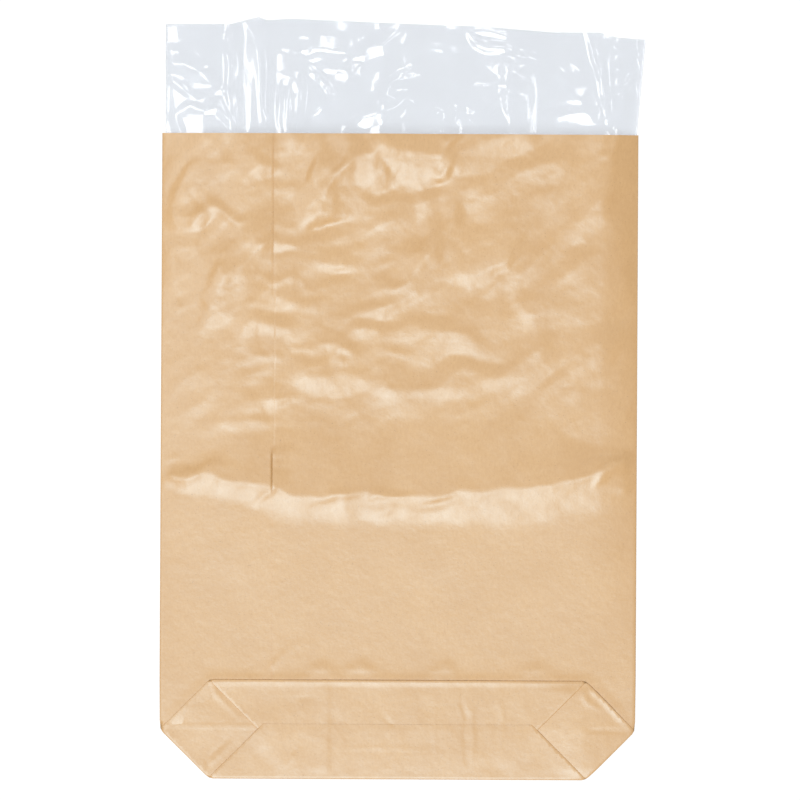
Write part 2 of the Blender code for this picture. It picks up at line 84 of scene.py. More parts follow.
# Creases of the front: how it is shaped, then its points as (x, distance below the mouth, height,
# reach above, reach below), all in millimetres. A shape from 0 to 1 is more and more rounded, and
# below 0 the crest stays sharp and the foot runs out softly.
CREASES = (
    # across the middle, where the sack has been folded in half
    (-0.6, ((-252, 367, 2.0, 12, 13), (-222, 362, 3.2, 18, 19), (-205, 360, 2.5, 24, 23),
            (-188, 364, 2.6, 40, 24), (-160, 368, 2.9, 70, 28), (-136, 374, 3.4, 90, 30),
            (-108, 382, 2.8, 95, 32), (-80, 382, 3.2, 95, 30), (-58, 383, 3.6, 95, 34),
            (-34, 377, 3.1, 90, 28), (-6, 385, 2.9, 95, 32), (25, 381, 3.2, 95, 36),
            (70, 378, 3.6, 95, 40), (120, 374, 3.9, 95, 42), (160, 370, 4.1, 80, 42),
            (190, 362, 4.2, 60, 44), (212, 352, 3.8, 30, 44), (238, 342, 2.6, 16, 36),
            (252, 338, 1.0, 10, 24))),
    (-0.3, ((-228, 352, 0.2, 8, 6), (-214, 358, 0.9, 9, 6), (-180, 350, 0.3, 9, 8))),
    (-0.3, ((-34, 385, 0.3, 6, 6), (-18, 379, 1.0, 9, 6), (-2, 381, 0.8, 8, 7),
            (16, 380, 0.3, 6, 6))),
    (0.2, ((18, 396, -0.2, 6, 8), (48, 386, -0.9, 6, 9), (62, 384, -0.2, 6, 6))),
    (-0.3, ((-150, 396, 0.3, 8, 6), (-141, 384, 1.0, 10, 7), (-134, 377, 0.5, 9, 6))),
    (-0.3, ((-100, 392, 0.2, 7, 8), (-70, 384, 0.8, 9, 9), (-44, 378, 0.2, 7, 7))),
    (0.3, ((-60, 402, 0.2, 10, 12), (-20, 396, 0.9, 12, 14), (40, 400, 0.2, 10, 10))),
    # the crumpled patch under the mouth
    (0.1, ((-110, 92, 0.3, 8, 16), (-101, 80, 2.0, 14, 26), (-84, 62, 3.4, 22, 38),
           (-70, 44, 4.4, 30, 38), (-50, 27, 4.8, 38, 42), (-24, 20, 4.6, 40, 42),
           (-19, 12, 4.9, 38, 46), (-8, 17, 4.6, 38, 42), (0, 20, 4.2, 40, 40),
           (18, 21, 4.0, 40, 38), (42, 23, 3.6, 38, 36), (58, 30, 2.0, 30, 30),
           (70, 44, 0.6, 20, 26))),
    (0.1, ((-74, 62, -0.4, 8, 8), (-60, 56, -1.5, 20, 12), (-34, 58, -1.3, 22, 12),
           (-24, 62, -1.7, 22, 12), (-2, 53, -1.4, 20, 14), (14, 58, -1.5, 20, 14),
           (36, 57, -1.3, 18, 12), (50, 52, -0.2, 10, 8))),
    (0.0, ((-31, 46, -0.2, 6, 8), (-18, 28, -0.9, 9, 8), (-4, 46, -0.5, 8, 6),
           (14, 34, -0.2, 6, 6))),
    (0.0, ((34, 47, 0.4, 8, 5), (49, 46, 1.3, 9, 6), (54, 30, 0.7, 8, 6), (58, 22, 0.2, 6, 6))),
    (0.2, ((44, 22, 0.4, 10, 8), (50, 8, 1.6, 16, 8), (60, 0, 1.6, 16, 8))),
    (0.1, ((-104, 90, 0.3, 6, 10), (-86, 80, 1.2, 9, 14), (-74, 82, 1.0, 8, 12),
           (-66, 64, 0.2, 6, 6))),
    # streaks left of the patch
    (0.2, ((-92, 74, -0.3, 6, 6), (-80, 52, -1.3, 9, 7), (-66, 30, -1.0, 9, 7),
           (-60, 14, -0.2, 6, 6))),
    (0.2, ((-104, 62, 0.2, 5, 6), (-92, 40, 0.8, 7, 8), (-84, 16, 0.5, 8, 8), (-80, 2, 0.2, 6, 6))),
    (0.3, ((-104, 110, -0.2, 6, 8), (-92, 100, -1.5, 10, 16), (-70, 90, -1.4, 9, 18),
           (-52, 92, -0.4, 9, 12))),
    # the column left of the seam
    (0.1, ((-246, 88, 0.2, 7, 10), (-236, 66, 1.3, 10, 16), (-222, 44, 1.4, 10, 20),
           (-212, 26, 0.4, 9, 14))),
    (0.0, ((-224, 60, -0.2, 5, 5), (-212, 72, -0.7, 6, 6), (-205, 82, -0.5, 5, 6),
           (-204, 88, -0.1, 5, 5))),
    (-0.2, ((-250, 98, 0.4, 6, 12), (-236, 101, 0.8, 8, 14), (-222, 100, 0.9, 9, 16),
            (-216, 88, 0.9, 9, 12), (-206, 82, 1.2, 9, 12), (-192, 80, 1.3, 10, 14),
            (-182, 83, 1.2, 10, 12), (-172, 92, 1.1, 10, 12), (-160, 92, 0.2, 8, 8))),
    (0.0, ((-211, 112, -0.2, 4, 5), (-205, 100, -0.8, 5, 6), (-200, 90, -0.2, 4, 5))),
    (0.6, ((-204, 168, 0.5, 20, 20), (-184, 138, 2.6, 24, 26), (-160, 108, 3.0, 26, 28),
           (-142, 84, 0.8, 20, 20))),
    (0.6, ((-212, 216, 0.3, 14, 20), (-196, 182, 1.8, 16, 20), (-184, 150, 2.0, 16, 18),
           (-166, 138, 0.4, 12, 12))),
    (0.1, ((-158, 22, 0.1, 7, 7), (-150, 30, 1.2, 8, 12), (-136, 38, 1.0, 10, 12),
           (-130, 42, 0.2, 6, 8))),
    (0.4, ((-196, 28, -0.2, 8, 10), (-182, 14, -1.1, 12, 12), (-168, 0, -0.9, 12, 12))),
    # wrinkles across the seam
    (0.4, ((-152, 120, 0.1, 6, 6), (-138, 116, 0.8, 9, 7), (-116, 116, 0.8, 9, 7),
           (-104, 118, 0.1, 6, 6))),
    (0.4, ((-135, 154, 0.6, 8, 7), (-114, 154, 0.7, 8, 7), (-106, 157, 0.1, 6, 6))),
    (0.5, ((-172, 206, 0.1, 8, 8), (-150, 203, 1.1, 16, 12), (-128, 203, 1.3, 14, 12),
           (-106, 207, 0.2, 8, 8))),
    (0.4, ((-166, 242, 0.1, 6, 6), (-148, 238, 0.7, 10, 8), (-130, 237, 0.6, 9, 8),
           (-118, 239, 0.1, 6, 6))),
    (0.5, ((-184, 292, 0.2, 12, 10), (-158, 284, 1.1, 18, 14), (-132, 277, 1.4, 22, 15),
           (-106, 281, 0.3, 12, 10))),
    (0.5, ((-212, 316, 0.1, 12, 12), (-180, 304, 0.8, 18, 14), (-150, 302, 0.9, 18, 14),
           (-138, 308, 0.2, 8, 8))),
    (0.1, ((-132, 340, 0.5, 5, 9), (-122, 338, 0.6, 5, 9), (-112, 337, 0.1, 5, 7))),
    (0.0, ((-132, 357, -0.4, 4, 4), (-120, 356, -0.4, 4, 4), (-108, 356, -0.1, 4, 4))),
    # wrinkles right of the seam
    (0.3, ((-102, 146, 0.2, 10, 6), (-84, 139, 1.1, 16, 8), (-60, 139, 1.2, 18, 8),
           (-42, 140, 0.2, 10, 6))),
    (0.3, ((-100, 163, 0.4, 8, 7), (-72, 161, 0.6, 10, 7), (-44, 162, 0.2, 8, 6))),
    (0.2, ((-106, 226, 0.2, 8, 8), (-90, 221, 1.1, 12, 8), (-72, 221, 1.3, 12, 8),
           (-54, 227, 1.1, 10, 8), (-44, 234, 0.2, 6, 6))),
    (0.6, ((-104, 270, 0.4, 26, 16), (-80, 258, 1.7, 40, 22), (-52, 254, 1.6, 40, 24),
           (-30, 260, 0.4, 24, 16))),
    (0.6, ((-34, 268, 0.3, 14, 12), (-12, 266, 0.9, 22, 14), (28, 266, 0.8, 24, 16),
           (80, 264, 0.8, 24, 18), (130, 258, 0.3, 20, 16))),
    (0.4, ((-24, 233, 0.1, 7, 7), (-8, 231, 0.7, 10, 8), (10, 234, 0.2, 7, 7))),
    (0.4, ((-30, 126, 0.1, 6, 6), (-14, 123, 0.7, 9, 8), (4, 126, 0.1, 6, 6))),
    # ripples that run down to the left
    (0.6, ((-34, 104, 0.2, 10, 10), (-14, 92, 1.0, 14, 12), (8, 78, 0.3, 12, 10))),
    (0.4, ((-24, 182, 0.4, 18, 18), (8, 152, 2.6, 24, 26), (34, 122, 3.0, 26, 28),
           (52, 92, 2.2, 20, 22), (62, 72, 0.3, 12, 10))),
    (0.5, ((-44, 178, 0.2, 12, 12), (-20, 166, 1.0, 18, 12), (6, 156, 0.3, 12, 10))),
    (0.3, ((50, 146, 0.3, 30, 8), (72, 152, 1.5, 50, 12), (92, 139, 1.5, 56, 12),
           (108, 134, 1.5, 56, 12), (124, 112, 1.2, 50, 14), (140, 96, 0.3, 30, 12))),
    (0.4, ((84, 176, 0.1, 8, 8), (104, 158, 0.7, 9, 10), (122, 140, 0.1, 8, 8))),
    (0.5, ((84, 268, 0.2, 14, 14), (116, 246, 1.4, 24, 18), (150, 224, 0.9, 22, 14),
           (166, 208, 0.1, 12, 10))),
    (0.5, ((196, 92, 0.3, 14, 14), (210, 66, 1.1, 18, 18), (220, 40, 0.3, 14, 14))),
    (0.6, ((170, 176, 0.1, 14, 16), (190, 150, 0.4, 18, 20), (204, 110, 0.1, 14, 14))),
    # along the right edge
    (0.0, ((222, 40, 0.2, 6, 6), (224, 22, 1.0, 10, 8), (229, 2, 1.0, 10, 8))),
    (0.1, ((204, 32, 0.1, 5, 5), (216, 24, 0.6, 6, 6), (228, 18, 0.1, 5, 5))),
    (0.0, ((206, 374, 0.3, 8, 6), (214, 358, 1.3, 9, 10), (230, 348, 1.2, 8, 12),
           (246, 340, 0.3, 6, 8))),
    (0.1, ((228, 374, 0.2, 6, 6), (238, 370, 0.9, 7, 6), (250, 362, 0.5, 6, 6))),
    (0.1, ((226, 334, 0.1, 5, 5), (238, 338, 0.5, 5, 5), (250, 338, 0.3, 5, 5))),
    (0.1, ((-250, 348, 0.3, 5, 5), (-240, 344, 0.5, 5, 5), (-230, 340, 0.1, 5, 5))),
)

# Creases of the pasted bottom, given in the same way
BOTTOM_CREASES = (
    # the ends: the middle line of each, and the pleats at the corners
    (0.0, ((-251, 625, 0.3, 2.2, 2.2), (-150, 626, 0.25, 2.2, 2.2))),
    (0.0, ((202, 628, -0.3, 2.5, 2.5), (251, 630, -0.4, 2.5, 2.5))),
    (0.0, ((-199, 575, 0.5, 4, 3), (-192, 592, 0.7, 5, 3), (-168, 616, 0.1, 3, 3))),
    (0.0, ((-200, 676, -0.5, 2.5, 3), (-200, 659, -0.6, 2.5, 3), (-174, 635, -0.1, 2.5, 3))),
    (0.0, ((-196, 678, 0.6, 3, 3), (-186, 666, 0.1, 3, 3))),
    (0.0, ((-196, 664, 0.5, 4, 4), (-184, 652, 0.5, 5, 4), (-172, 640, 0.1, 3, 3))),
    (0.0, ((199, 577, 0.2, 3, 3), (196, 592, 0.6, 5, 4), (200, 598, 0.6, 4, 5),
           (214, 606, 0.1, 3, 3))),
    (0.1, ((195, 575, 1.2, 50, 40), (195, 628, 2.0, 50, 60), (195, 678, 1.2, 50, 40))),
    # upright creases over the middle
    (0.0, ((70, 580, -0.1, 3, 2.5), (67, 600, -0.5, 4, 2.5), (73, 616, -0.5, 4, 2.5),
           (70, 632, -0.4, 4, 2.5), (73, 664, -0.2, 3, 2.5))),
    (0.0, ((78, 610, 0.3, 3, 3), (80, 640, 0.4, 4, 3), (78, 668, 0.1, 3, 3))),
    (0.0, ((-74, 585, 0.3, 4, 12), (-74, 670, 0.4, 4, 12))),
    (0.0, ((40, 590, 0.1, 3, 3), (39, 630, 0.25, 3, 4), (41, 664, 0.1, 3, 3))),
    (0.0, ((108, 584, 0.1, 3, 4), (111, 620, 0.3, 3, 5), (109, 660, 0.1, 3, 4))),
    # small marks
    (0.0, ((-107, 596, -0.1, 2.5, 2.5), (-98, 595, -0.35, 2.5, 3), (-88, 597, -0.1, 2.5, 2.5))),
    (0.0, ((-117, 668, 0.1, 3, 3), (-109, 658, 0.5, 3.5, 3.5), (-103, 650, 0.1, 3, 3))),
    (0.0, ((-17, 583, 0.1, 2.5, 2.5), (4, 583, 0.2, 2.5, 2.5))),
    (0.0, ((-16, 612, -0.1, 2.5, 2.5), (-8, 622, -0.3, 2.5, 2.5), (4, 626, -0.1, 2.5, 2.5))),
    (0.0, ((-64, 649, 0.1, 2.5, 3), (-20, 648, 0.22, 2.5, 3), (42, 649, 0.1, 2.5, 3))),
)

# Small buckles of the front along the upper edge of the bottom, given in the same way
BUCKLES = (
    (0.0, ((-142, 572, 0.2, 6, 4), (-128, 560, 0.8, 7, 4), (-118, 548, 0.6, 5, 4),
           (-106, 538, 0.1, 4, 4))),
    (0.0, ((-94, 570, 0.2, 8, 4), (-78, 566, 1.2, 10, 4), (-62, 570, 0.3, 8, 4))),
    (0.0, ((-60, 570, 0.3, 8, 4), (-40, 565, 1.3, 10, 4), (-14, 570, 0.3, 8, 4))),
    (0.0, ((26, 571, 0.2, 8, 4), (51, 565, 1.1, 10, 4), (66, 571, 0.2, 8, 4))),
    (0.0, ((120, 571, 0.2, 7, 4), (146, 566, 1.0, 10, 4), (168, 571, 0.2, 8, 4))),
)


def ease(share):
    """From 0 to 1 with soft ends."""
    share = np.clip(share, 0.0, 1.0)
    return share * share * (3 - 2 * share)


def cloud(u, v, seed):
    """Smooth random heights from -1 to 1 that change about once in every unit."""
    table = np.random.default_rng(seed).uniform(-1, 1, (64, 64))
    i, j = np.floor(u).astype(int), np.floor(v).astype(int)
    s, t = ease(u - i), ease(v - j)
    low = table[i % 64, j % 64] * (1 - s) + table[(i + 1) % 64, j % 64] * s
    high = table[i % 64, (j + 1) % 64] * (1 - s) + table[(i + 1) % 64, (j + 1) % 64] * s
    return low * (1 - t) + high * t


def facets(u, v, seed):
    """Random heights from -1 to 1 over flat triangles with sharp edges, two in every unit."""
    table = np.random.default_rng(seed).uniform(-1, 1, (64, 64))
    i, j = np.floor(u).astype(int), np.floor(v).astype(int)
    s, t = u - i, v - j
    first, last = table[i % 64, j % 64], table[(i + 1) % 64, (j + 1) % 64]
    beside, above = table[(i + 1) % 64, j % 64], table[i % 64, (j + 1) % 64]
    lower = first + (beside - first) * s + (above - first) * t
    upper = last + (above - last) * (1 - s) + (beside - last) * (1 - t)
    return np.where(s + t < 1, lower, upper)


def crease(x, down, shape, points):
    """Height that one crease adds: a tent over a line, whose size changes along it."""
    nearest = np.full(x.shape, 1e9)
    side, height, above, below = (np.zeros(x.shape) for _ in range(4))
    for a, b in zip(points, points[1:]):
        run_x, run_y = b[0] - a[0], b[1] - a[1]
        length = math.hypot(run_x, run_y)
        share = np.clip(((x - a[0]) * run_x + (down - a[1]) * run_y) / length ** 2, 0, 1)
        off_x, off_y = x - a[0] - share * run_x, down - a[1] - share * run_y
        distance = np.hypot(off_x, off_y)
        near = distance < nearest
        turned = (off_x * run_y - off_y * run_x) / (length * np.maximum(distance, 1e-9))
        side = np.where(near, turned, side)
        height = np.where(near, a[2] + (b[2] - a[2]) * share, height)
        above = np.where(near, a[3] + (b[3] - a[3]) * share, above)
        below = np.where(near, a[4] + (b[4] - a[4]) * share, below)
        nearest = np.minimum(distance, nearest)
    reach = (above * (1 + side) + below * (1 - side)) / 2
    share = np.clip(1 - nearest / reach, 0, 1)
    if shape < 0:
        return height * share ** (1 - shape)
    return height * (share * (1 - shape) + ease(share) * shape)


def within_bottom(x, down):
    """Distance inside the upper outline of the pasted bottom, and negative outside it."""
    under_hinge = down - HINGE_DOWN
    return np.minimum(under_hinge, (under_hinge - np.abs(x) + CORNER) * DIAGONAL)


def billow(x, down, rise):
    """The slack of the front: it swells towards the mouth and rolls down to the side folds."""
    right_roll, left_roll = 38 + 22 * ease((down - 380) / 60), 110
    right, left = np.clip((SIDE - x) / right_roll, 0, 1), np.clip((SIDE + x) / left_roll, 0, 1)
    sides = (1 - (1 - right) ** 1.6) * (1 - (1 - left) ** 2)
    lip = (0.9 + 1.3 * cloud(x / 19, 0 * x, 19)) * ease((26 - down) / 26)
    near_mouth = 1.2 * ease((140 - down) / 150) * ease((130 - x) / 170)
    near_hinge = 0.3 * ease((HINGE_DOWN - down) / 70)
    slope = 6.5 * np.clip((300 - down) / 270, 0, 1)
    return (5.4 * rise + slope + near_mouth + near_hinge + lip) * sides


def ripples(x, down, sharp, degrees, seed):
    """Slanted ripples that fall away gently and rise sharply, with soft ridges between them."""
    turn, gentle = math.radians(degrees), 0.58
    across = x * math.sin(turn) + down * math.cos(turn)
    along = x * math.cos(turn) - down * math.sin(turn)
    swell = 0.9 * cloud(across / 21, along / 62, seed)
    share = (across / 58 + 1.1 * cloud(across / 70, along / 60, seed + 2)) % 1
    saw = 1 - share / gentle + np.maximum(share - gentle, 0) * (1 / (1 - gentle) + 1 / gentle)
    size = 0.2 + 1.9 * np.clip(0.3 + cloud(across / 44, along / 50, seed + 3), 0, 1)
    ridge = 0.35 * (1 - 2 * np.abs(cloud(across / 30, along / 50, seed + 1)))
    return swell + size * saw * sharp + ridge


def relief(x, y):
    """How far the slack front stands off its flat place."""
    x, down = x * 1000, (MOUTH_Y - y) * 1000
    rise = ease((HINGE_DOWN - down) / 300)
    upper = ease((350 - down) / 80)
    inside = np.clip((SIDE - np.abs(x)) / 12, 0, 1) * np.minimum(rise * 3, 1)
    height = billow(x, down, rise)

    # no crease runs straight
    bent_x = x + 4 * cloud(x / 22, down / 22, 11) + 0.9 * cloud(x / 7, down / 7, 12)
    bent_down = down + 4 * cloud(x / 22, down / 22, 13) + 0.9 * cloud(x / 7, down / 7, 14)
    for shape, points in CREASES:
        height = height + CREASE_SCALE * crease(bent_x, bent_down, shape, points) * inside

    # ripples, steep left of the seam and flatter right of it
    soft_x = x + 5 * cloud(x / 34, down / 34, 15)
    soft_down = down + 5 * cloud(x / 34, down / 34, 16)
    sharp = ease((290 - down) / 60)
    for degrees, where, seed in ((56, ease((-100 - x) / 50), 21), (40, ease((x + 150) / 50), 31)):
        rippled = ripples(soft_x, soft_down, sharp, degrees, seed)
        height = height + inside * where * (0.15 + 0.85 * upper) * rippled
    height = height + inside * (0.4 + 0.6 * upper) * 0.7 * cloud(bent_x / 55, bent_down / 55, 23)

    # small flat facets, left where the sheet was crumpled
    far_x = x + 14 * cloud(x / 70, down / 70, 17)
    far_down = down + 14 * cloud(x / 70, down / 70, 18)
    across, along = (0.8 * far_x + 0.6 * far_down) / 21, (0.8 * far_down - 0.6 * far_x) / 34
    facet = 0.45 * facets(across, along, 61) + 0.22 * facets(2.3 * across, 2.3 * along, 62)
    height = height + inside * (0.06 + 0.94 * upper) * facet

    # small wrinkles, most of them beside the glued lap
    beside_lap = ease((x + 190) / 40) * ease((-20 - x) / 40)
    lap = ease((down - 70) / 40) * ease((330 - down) / 30) * beside_lap
    height = height + inside * lap * 0.25 * cloud(bent_x / 30, bent_down / 6.5, 24)
    fine = 1 - 2 * np.abs(cloud(bent_x / 10, bent_down / 8, 25))
    height = height + inside * (0.2 + 0.8 * upper) * 0.06 * fine

    # the liner is stuck on along a line below the mouth
    glued = np.exp(-((down - GLUED_DOWN + 3 * cloud(x / 22, 0 * x, 26)) / 2.5) ** 2)
    height = height - inside * 0.16 * glued * (0.8 + 1.2 * cloud(x / 9, down / 9, 27))

    # the pasted bottom pushes the front up along its upper outline
    for shape, points in BUCKLES:
        height = height + crease(bent_x, down, shape, points)
    inner = within_bottom(x, down)
    push = ease((7 + inner) / 7) * ease((8 - inner) / 8) * ease((SIDE - 2 - np.abs(x)) / 14)
    return (height + 0.9 * push) / 1000


def seam_shape(layer, x, y):
    """How the two sheets roll beside the free edge of the lap, and part where its glue let go."""
    down, right = (MOUTH_Y - y) * 1000, (x - SEAM_EDGE_X) * 1000
    opened = ease((down - SLIT_DOWN) / 12) * ease((SLIT_END_DOWN - down) / 16)
    if layer == "front_left":
        beside = ease(1 + right / 2.5)
        groove = 0.35 * ease((190 - down) / 60) * beside
        return -(groove + 1.3 * opened * beside) / 1000
    held = ease((down - 110) / 60) * ease((350 - down) / 30)
    pressed = 0.45 * held * (1 - ease(right / 3))
    lifted = 0.9 * opened * (1 - ease(right / 20))
    return (lifted - pressed) / 1000


def bottom_shape(layer, x, y):
    """The creases of the pasted bottom, and how its upper edge springs up from the front."""
    mm_x, down = x * 1000, (MOUTH_Y - y) * 1000
    from_side = SIDE - np.abs(mm_x)
    spring = (0.55 + 0.3 * cloud(mm_x / 45, 0 * mm_x, 51)) * ease((from_side - 2) / 14)
    height = spring * ease((6 - within_bottom(mm_x, down)) / 6)
    if layer in ("upper_flap", "lower_flap", "corner"):
        rim = np.clip(np.minimum(down - HINGE_DOWN, FOLD_DOWN - down) / 10, 0, 1)
        rim = rim * np.clip(from_side / 12, 0, 1)
        waves = 0.25 * cloud(mm_x / 34, down / 26, 52) + 0.12 * cloud(mm_x / 12, down / 16, 53)
        height = height + waves * rim
        for shape, points in BOTTOM_CREASES:
            height = height + crease(mm_x, down, shape, points) * rim
    if layer.startswith("lower"):
        # it lies closer where no upper flap is under it, and along its free edges
        clear = 2 * HALF_BOTTOM - (HALF_WIDTH - np.abs(x)) - (y - BOTTOM_Y)
        past_upper = (down - UPPER_FLAP_DOWN) / (FOLD_DOWN - UPPER_FLAP_DOWN)
        free = np.maximum(ease(clear / 0.03), ease(past_upper))
        slanted = (down - SLANT_DOWN - np.abs(mm_x)) * DIAGONAL
        edge = ease((8 - np.minimum(down - LOWER_FLAP_DOWN, slanted)) / 8)
        height = height - 1000 * PLY * (0.75 + 1.3 * free + 0.3 * edge * (1 - free))
    return height / 1000


def paper_height(layer, x, y):
    """Height of the middle of the paper in one layer, for arrays of places."""
    if layer == "back":
        return np.full(x.shape, BACK_Z)
    lift = BOTTOM_LIFT * np.minimum((y - BOTTOM_Y) / HALF_BOTTOM, 1)
    height = FRONT_Z + lift + PLIES_UP[layer] * PLY
    if not layer.startswith("front"):
        return height + bottom_shape(layer, x, y)
    height = height + relief(x, y)
    if layer != "front":
        height = height + seam_shape(layer, x, y)
    if layer == "front_right":
        off_lap = ease((x - SEAM_END_X) / LAP_RUN_OUT)
        height = height + LAP_STEP * (1 - off_lap) * ease((y - SEAM_JOIN_Y) / LAP_START)
    return height


# Meshing: the end steps of a line, the rows of a filling and its distance from lines, what counts
# as one place, and how thin the wall is in a knot
END_SPACING = 0.004
ROW_SHARE = 0.866
CLEAR_SHARE = 0.4
MERGE = 1e-5
KNOT_THINNING = 0.15


def between(start, end, share):
    """The place at a share of the way from start to end."""
    return tuple(a + (b - a) * share for a, b in zip(start, end))


def run(start, end, spacing):
    """Places from start to end, about spacing apart, with one close to each end."""
    length = math.dist(start, end)
    close = min(END_SPACING, length / 4)
    rest = length - 2 * close
    pieces = max(1, round(rest / spacing))
    shares = [(close + rest * step / pieces) / length for step in range(pieces + 1)]
    return [between(start, end, share) for share in [0.0, *shares, 1.0]]


def loop(*lines):
    """One outline from lines that follow each other end to end."""
    points = []
    for line in lines:
        points += line[:-1]
    return points


def steps(*stops):
    """Numbers that pass through each stop: a first value, then (value, spacing) pairs."""
    found = [stops[0]]
    for stop, spacing in stops[1:]:
        last = found[-1]
        count = max(1, round(abs(stop - last) / spacing))
        found += [last + (stop - last) * (i + 1) / count for i in range(count)]
    return found


def away_from(x, y, line):
    """Distance from places to a line of points."""
    nearest = np.full(x.shape, 1e9)
    for (ax, ay), (bx, by) in zip(line, line[1:]):
        run_x, run_y = bx - ax, by - ay
        share = np.clip(((x - ax) * run_x + (y - ay) * run_y) / (run_x ** 2 + run_y ** 2), 0, 1)
        nearest = np.minimum(nearest, np.hypot(x - ax - share * run_x, y - ay - share * run_y))
    return nearest


def filling(outline, spacing, lines):
    """Staggered places inside an outline, clear of its edge and of the lines."""
    closed = outline + outline[:1]
    xs, ys = [p[0] for p in outline], [p[1] for p in outline]
    rows = max(1, int((max(ys) - min(ys)) / (spacing * ROW_SHARE)))
    columns = max(1, int((max(xs) - min(xs)) / spacing))
    row, column = np.mgrid[1:rows + 1, 0:columns + 1].reshape(2, -1)
    y = min(ys) + (max(ys) - min(ys)) * row / (rows + 1)
    x = min(xs) + (max(xs) - min(xs)) * (column + 0.5 * (row % 2) + 0.25) / (columns + 1)
    inside = np.zeros(x.shape, bool)
    for (ax, ay), (bx, by) in zip(closed, closed[1:]):
        if ay != by:
            inside ^= ((ay > y) != (by > y)) & (x < ax + (bx - ax) * (y - ay) / (by - ay))
    for line in [closed, *lines]:
        inside &= away_from(x, y, line) > CLEAR_SHARE * spacing
    return list(zip(x[inside].tolist(), y[inside].tolist()))


class Sheet:
    """An open surface: panels in layers, joined by rolled folds, with knots at the corners."""

    def __init__(self, height, knots, same=None):
        self.mesh = bmesh.new()
        self.share = self.mesh.verts.layers.float.new("share")
        self.height = height
        self.knots = {self.key(*place): z for place, z in knots.items()}
        self.same = same or (lambda layer, x, y: layer)
        self.made = {}

    @staticmethod
    def key(x, y):
        return round(x * 1e6), round(y * 1e6)

    def points(self, layer, places):
        """The vertices of a layer at places. All layers share one thin vertex at a knot."""
        names = []
        for x, y in places:
            spot = self.key(x, y)
            names.append(("knot" if spot in self.knots else self.same(layer, x, y), spot))
        fresh = [i for i, name in enumerate(names) if name not in self.made]
        if fresh:
            x = np.array([places[i][0] for i in fresh])
            y = np.array([places[i][1] for i in fresh])
            heights = self.height(layer, x, y).tolist()
            for i, z in zip(fresh, heights):
                if names[i] not in self.made:
                    knot = names[i][0] == "knot"
                    height = self.knots[names[i][1]] if knot else z
                    vertex = self.mesh.verts.new((*places[i], height))
                    vertex[self.share] = KNOT_THINNING if knot else 1.0
                    self.made[names[i]] = vertex
        return [self.made[name] for name in names]

    def grid(self, layer, xs, ys):
        """A rectangle of the sheet in rows and columns."""
        rows = [self.points(layer, [(x, y) for x in xs]) for y in ys]
        for low, high in zip(rows, rows[1:]):
            for i in range(len(xs) - 1):
                self.mesh.faces.new((low[i], low[i + 1], high[i + 1], high[i]))

    def panel(self, layer, outline, spacing, lines=()):
        """A panel of any outline, in triangles whose edges follow the lines."""
        numbers, places = {}, []

        def number(place):
            """The index of a place, the same for places that coincide."""
            if self.key(*place) not in numbers:
                numbers[self.key(*place)] = len(places)
                places.append(place)
            return numbers[self.key(*place)]

        rim = [number(place) for place in outline]
        edges = [(number(a), number(b)) for line in lines for a, b in zip(line, line[1:])]
        for place in filling(outline, spacing, lines):
            number(place)
        places_in = [Vector(place) for place in places]
        wheres, _, faces, sources = delaunay_2d_cdt(places_in, edges, [rim], 1, MERGE)[:4]
        kept = [places[s[0]] if s else tuple(where) for where, s in zip(wheres, sources)]
        corners = self.points(layer, kept)
        for face in faces:
            self.mesh.faces.new([corners[i] for i in face])

    def fold(self, line, lower, upper, outward, parts=4):
        """Rolls the sheet from one layer up to another along a line, as half a cylinder."""
        columns = []
        firsts, lasts = self.points(lower, line), self.points(upper, line)
        for (x, y), first, last in zip(line, firsts, lasts):
            column = [first]
            if first is not last:
                middle = (first.co.z + last.co.z) / 2
                radius = (last.co.z - first.co.z) / 2
                for part in range(1, parts):
                    turn = math.pi * part / parts
                    reach = radius * math.sin(turn)
                    fold_x, fold_y = x + outward[0] * reach, y + outward[1] * reach
                    place = fold_x, fold_y, middle - radius * math.cos(turn)
                    vertex = self.mesh.verts.new(place)
                    vertex[self.share] = 1.0
                    column.append(vertex)
                column.append(last)
            columns.append(column)
        for left, right in zip(columns, columns[1:]):
            for part in range(max(len(left), len(right)) - 1):
                corners = left[part:part + 2] + right[part:part + 2][::-1]
                if len(left) == 1:
                    corners = [left[0]] + right[part:part + 2]
                if len(right) == 1:
                    corners = [right[0]] + left[part:part + 2]
                self.mesh.faces.new(corners)

    def finish(self, name, wall, material, sharp):
        """The finished object: normals agree, then Solidify gives the sheet its thickness."""
        bmesh.ops.recalc_face_normals(self.mesh, faces=self.mesh.faces)
        shares = [vertex[self.share] for vertex in self.mesh.verts]
        data = bpy.data.meshes.new(name)
        self.mesh.to_mesh(data)
        self.mesh.free()
        made = bpy.data.objects.new(name, data)
        bpy.context.scene.collection.objects.link(made)
        group = made.vertex_groups.new(name="wall")
        for i, share in enumerate(shares):
            group.add([i], share, "REPLACE")
        shell = made.modifiers.new("Wall", "SOLIDIFY")
        shell.thickness = wall
        shell.offset = 0
        shell.vertex_group = group.name
        evaluated = made.evaluated_get(bpy.context.evaluated_depsgraph_get())
        whole = bpy.data.meshes.new_from_object(evaluated)
        made.modifiers.clear()
        made.vertex_groups.clear()
        made.data = whole
        whole.materials.clear()
        whole.materials.append(material)
        whole.shade_smooth()
        whole.set_sharp_from_angle(angle=math.radians(sharp))
        return made


# Mesh of the paper, fine where it shows
FINE_STEP, MIDDLE_STEP, COARSE_STEP, SEAM_STEP = 0.0028, 0.0048, 0.008, 0.001
FOLD_STEP, HEM_STEP = 0.006, 0.012
UPPER_FLAP_STEP, CORNER_STEP = 0.0032, 0.003
TUCK_STEP, BACK_STEP = 0.02, 0.03
FOLD_START = 0.003


def on_bottom(side, across, along):
    """A place on the pasted bottom: across from the side fold, along from its middle line."""
    return side * (HALF_WIDTH - across), BOTTOM_Y + along


